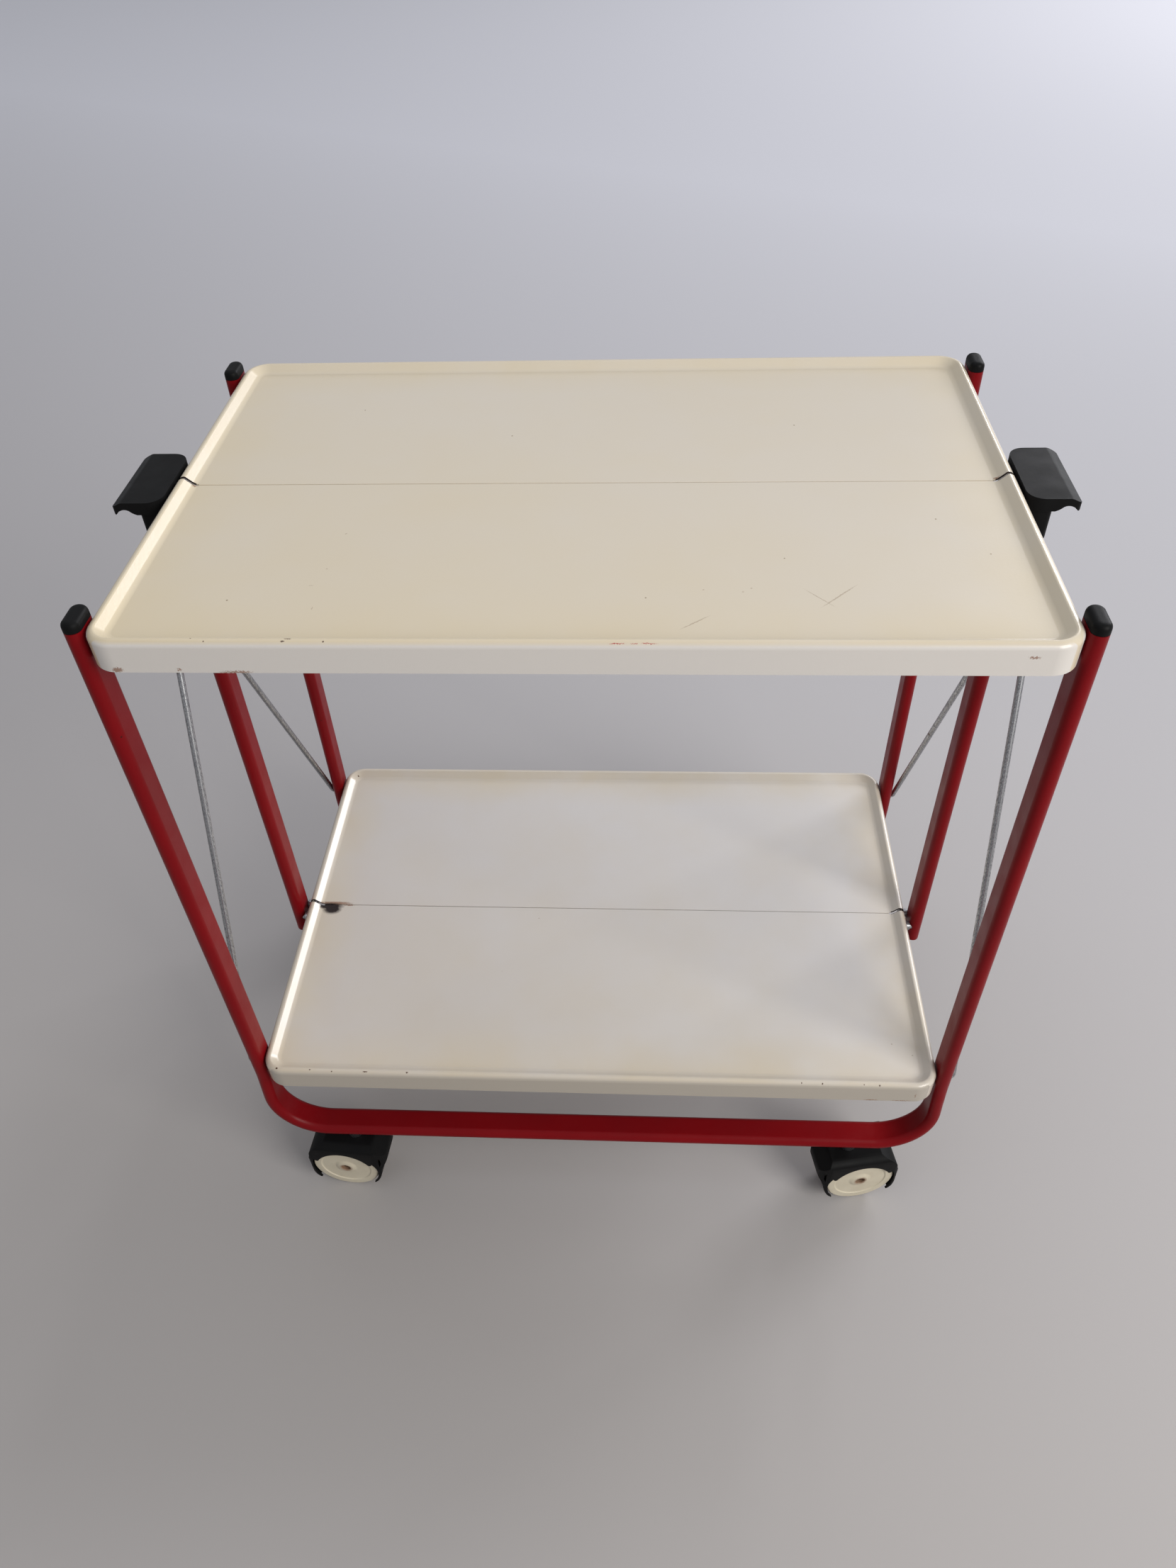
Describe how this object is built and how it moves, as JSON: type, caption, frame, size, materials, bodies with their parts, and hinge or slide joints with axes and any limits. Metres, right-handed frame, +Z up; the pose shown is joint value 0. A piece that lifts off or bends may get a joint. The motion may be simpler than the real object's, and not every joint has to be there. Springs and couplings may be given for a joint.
{
  "type": "folding serving trolley",
  "caption": "Folding serving trolley on twin-wheel castors: recessed steel trays, split along the middle, between U-shaped oval tube frames, with a moulded handle at each end.",
  "frame": {"origin": "on the floor, under the middle of the trolley", "axes": "+X along the trays towards the right-hand handle, +Y from the front to the rear, +Z up; the trolley stands open on its castors"},
  "size_m": [0.675, 0.422, 0.681],
  "materials": {
    "tray_enamel": "stoved ivory enamel on pressed sheet steel, satin gloss",
    "red_enamel": "stoved deep red enamel on steel tube, satin gloss",
    "black_plastic": "moulded black plastic, fine matt",
    "ivory_plastic": "moulded cream plastic, soft gloss",
    "zinc_steel": "zinc-plated drawn steel wire and rivets"
  },
  "bodies": {
    "front_left_castor": {"front_left_castor_hood": "black_plastic", "front_left_castor_axle": "zinc_steel"},
    "front_left_outer_wheel": {"front_left_castor_outer_wheel": "ivory_plastic"},
    "front_left_inner_wheel": {"front_left_castor_inner_wheel": "ivory_plastic"},
    "front_right_castor": {"front_right_castor_hood": "black_plastic", "front_right_castor_axle": "zinc_steel"},
    "front_right_outer_wheel": {"front_right_castor_outer_wheel": "ivory_plastic"},
    "front_right_inner_wheel": {"front_right_castor_inner_wheel": "ivory_plastic"},
    "front_frame": {"front_frame_tube": "red_enamel", "front_left_leg_cap": "black_plastic", "front_left_leg_rivet": "zinc_steel", "front_left_castor_stem": "zinc_steel", "front_right_leg_cap": "black_plastic", "front_right_leg_rivet": "zinc_steel", "front_right_castor_stem": "zinc_steel"},
    "front_rods": {"front_left_rod": "zinc_steel", "front_left_lock_cap": "zinc_steel", "front_right_rod": "zinc_steel", "front_right_lock_cap": "zinc_steel"},
    "rear_left_castor": {"rear_left_castor_hood": "black_plastic", "rear_left_castor_axle": "zinc_steel"},
    "rear_left_outer_wheel": {"rear_left_castor_outer_wheel": "ivory_plastic"},
    "rear_left_inner_wheel": {"rear_left_castor_inner_wheel": "ivory_plastic"},
    "rear_right_castor": {"rear_right_castor_hood": "black_plastic", "rear_right_castor_axle": "zinc_steel"},
    "rear_right_outer_wheel": {"rear_right_castor_outer_wheel": "ivory_plastic"},
    "rear_right_inner_wheel": {"rear_right_castor_inner_wheel": "ivory_plastic"},
    "rear_frame": {"rear_frame_tube": "red_enamel", "rear_left_leg_cap": "black_plastic", "rear_left_leg_rivet": "zinc_steel", "rear_left_castor_stem": "zinc_steel", "rear_right_leg_cap": "black_plastic", "rear_right_leg_rivet": "zinc_steel", "rear_right_castor_stem": "zinc_steel"},
    "rear_rods": {"rear_left_rod": "zinc_steel", "rear_left_lock_cap": "zinc_steel", "rear_right_rod": "zinc_steel", "rear_right_lock_cap": "zinc_steel"},
    "middle": {"left_upright": "red_enamel", "left_handle": "black_plastic", "left_handle_screw": "zinc_steel", "upper_front_left_centre_rivet": "zinc_steel", "upper_rear_left_centre_rivet": "zinc_steel", "lower_front_left_centre_rivet": "zinc_steel", "lower_rear_left_centre_rivet": "zinc_steel", "right_upright": "red_enamel", "right_handle": "black_plastic", "right_handle_screw": "zinc_steel", "upper_front_right_centre_rivet": "zinc_steel", "upper_rear_right_centre_rivet": "zinc_steel", "lower_front_right_centre_rivet": "zinc_steel", "lower_rear_right_centre_rivet": "zinc_steel"},
    "runners": {"left_runner": "black_plastic", "right_runner": "black_plastic"},
    "upper_front_half": {"upper_front_tray": "tray_enamel"},
    "upper_rear_half": {"upper_rear_tray": "tray_enamel"},
    "lower_front_half": {"lower_front_tray": "tray_enamel"},
    "lower_rear_half": {"lower_rear_tray": "tray_enamel"}
  },
  "joints": [
    {"name": "fold", "type": "hinge", "parent": "front_frame", "child": "upper_front_half", "pos_m": [0, -0.178, 0.66], "axis": [1, 0, 0], "range_deg": [0, 62]},
    {"name": "middle_level", "type": "hinge", "parent": "upper_front_half", "child": "middle", "pos_m": [0, -0.008, 0.66], "axis": [1, 0, 0], "range_deg": [-62, 0]},
    {"name": "upper_rear_fold", "type": "hinge", "parent": "middle", "child": "upper_rear_half", "pos_m": [0, 0.008, 0.66], "axis": [1, 0, 0], "range_deg": [-62, 0]},
    {"name": "rear_frame_level", "type": "hinge", "parent": "upper_rear_half", "child": "rear_frame", "pos_m": [0, 0.178, 0.66], "axis": [1, 0, 0], "range_deg": [0, 62]},
    {"name": "lower_front_fold", "type": "hinge", "parent": "front_frame", "child": "lower_front_half", "pos_m": [0, -0.178, 0.185], "axis": [1, 0, 0], "range_deg": [0, 62]},
    {"name": "lower_rear_fold", "type": "hinge", "parent": "middle", "child": "lower_rear_half", "pos_m": [0, 0.008, 0.185], "axis": [1, 0, 0], "range_deg": [-62, 0]},
    {"name": "runner_slide", "type": "slide", "parent": "middle", "child": "runners", "axis": [0, 0, 1], "range_m": [-0.124, 0]},
    {"name": "front_rods_swing", "type": "hinge", "parent": "front_frame", "child": "front_rods", "pos_m": [0, -0.178, 0.185], "axis": [1, 0, 0], "range_deg": [0, 12.4]},
    {"name": "rear_rods_swing", "type": "hinge", "parent": "rear_frame", "child": "rear_rods", "pos_m": [0, 0.178, 0.185], "axis": [1, 0, 0], "range_deg": [-12.4, 0]},
    {"name": "front_left_swivel", "type": "hinge", "parent": "front_frame", "child": "front_left_castor", "pos_m": [-0.238, -0.185, 0.07232], "axis": [0, 0, 1], "continuous": true},
    {"name": "front_left_outer_spin", "type": "hinge", "parent": "front_left_castor", "child": "front_left_outer_wheel", "pos_m": [-0.24996, -0.18406, 0.03272], "axis": [-0.0785, -0.9969, 0], "continuous": true},
    {"name": "front_left_inner_spin", "type": "hinge", "parent": "front_left_castor", "child": "front_left_inner_wheel", "pos_m": [-0.24996, -0.18406, 0.03272], "axis": [-0.0785, -0.9969, 0], "continuous": true},
    {"name": "front_right_swivel", "type": "hinge", "parent": "front_frame", "child": "front_right_castor", "pos_m": [0.238, -0.185, 0.07232], "axis": [0, 0, 1], "continuous": true},
    {"name": "front_right_outer_spin", "type": "hinge", "parent": "front_right_castor", "child": "front_right_outer_wheel", "pos_m": [0.24979, -0.18277, 0.03272], "axis": [-0.1857, 0.9826, 0], "continuous": true},
    {"name": "front_right_inner_spin", "type": "hinge", "parent": "front_right_castor", "child": "front_right_inner_wheel", "pos_m": [0.24979, -0.18277, 0.03272], "axis": [-0.1857, 0.9826, 0], "continuous": true},
    {"name": "rear_right_swivel", "type": "hinge", "parent": "rear_frame", "child": "rear_right_castor", "pos_m": [0.238, 0.185, 0.07232], "axis": [0, 0, 1], "continuous": true},
    {"name": "rear_right_outer_spin", "type": "hinge", "parent": "rear_right_castor", "child": "rear_right_outer_wheel", "pos_m": [0.24979, 0.18277, 0.03272], "axis": [0.1857, 0.9826, 0], "continuous": true},
    {"name": "rear_right_inner_spin", "type": "hinge", "parent": "rear_right_castor", "child": "rear_right_inner_wheel", "pos_m": [0.24979, 0.18277, 0.03272], "axis": [0.1857, 0.9826, 0], "continuous": true},
    {"name": "rear_left_swivel", "type": "hinge", "parent": "rear_frame", "child": "rear_left_castor", "pos_m": [-0.238, 0.185, 0.07232], "axis": [0, 0, 1], "continuous": true},
    {"name": "rear_left_outer_spin", "type": "hinge", "parent": "rear_left_castor", "child": "rear_left_outer_wheel", "pos_m": [-0.24996, 0.18406, 0.03272], "axis": [0.0785, -0.9969, 0], "continuous": true},
    {"name": "rear_left_inner_spin", "type": "hinge", "parent": "rear_left_castor", "child": "rear_left_inner_wheel", "pos_m": [-0.24996, 0.18406, 0.03272], "axis": [0.0785, -0.9969, 0], "continuous": true}
  ],
  "couplings": [
    {"joint": "middle_level", "follows": "fold", "ratio": -1},
    {"joint": "upper_rear_fold", "follows": "fold", "ratio": -1},
    {"joint": "rear_frame_level", "follows": "fold", "ratio": 1},
    {"joint": "lower_front_fold", "follows": "fold", "ratio": 1},
    {"joint": "lower_rear_fold", "follows": "fold", "ratio": -1},
    {"joint": "runner_slide", "follows": "fold", "m_per_rad": -0.11372},
    {"joint": "front_rods_swing", "follows": "fold", "ratio": 0.19933},
    {"joint": "rear_rods_swing", "follows": "fold", "ratio": -0.19933}
  ]
}
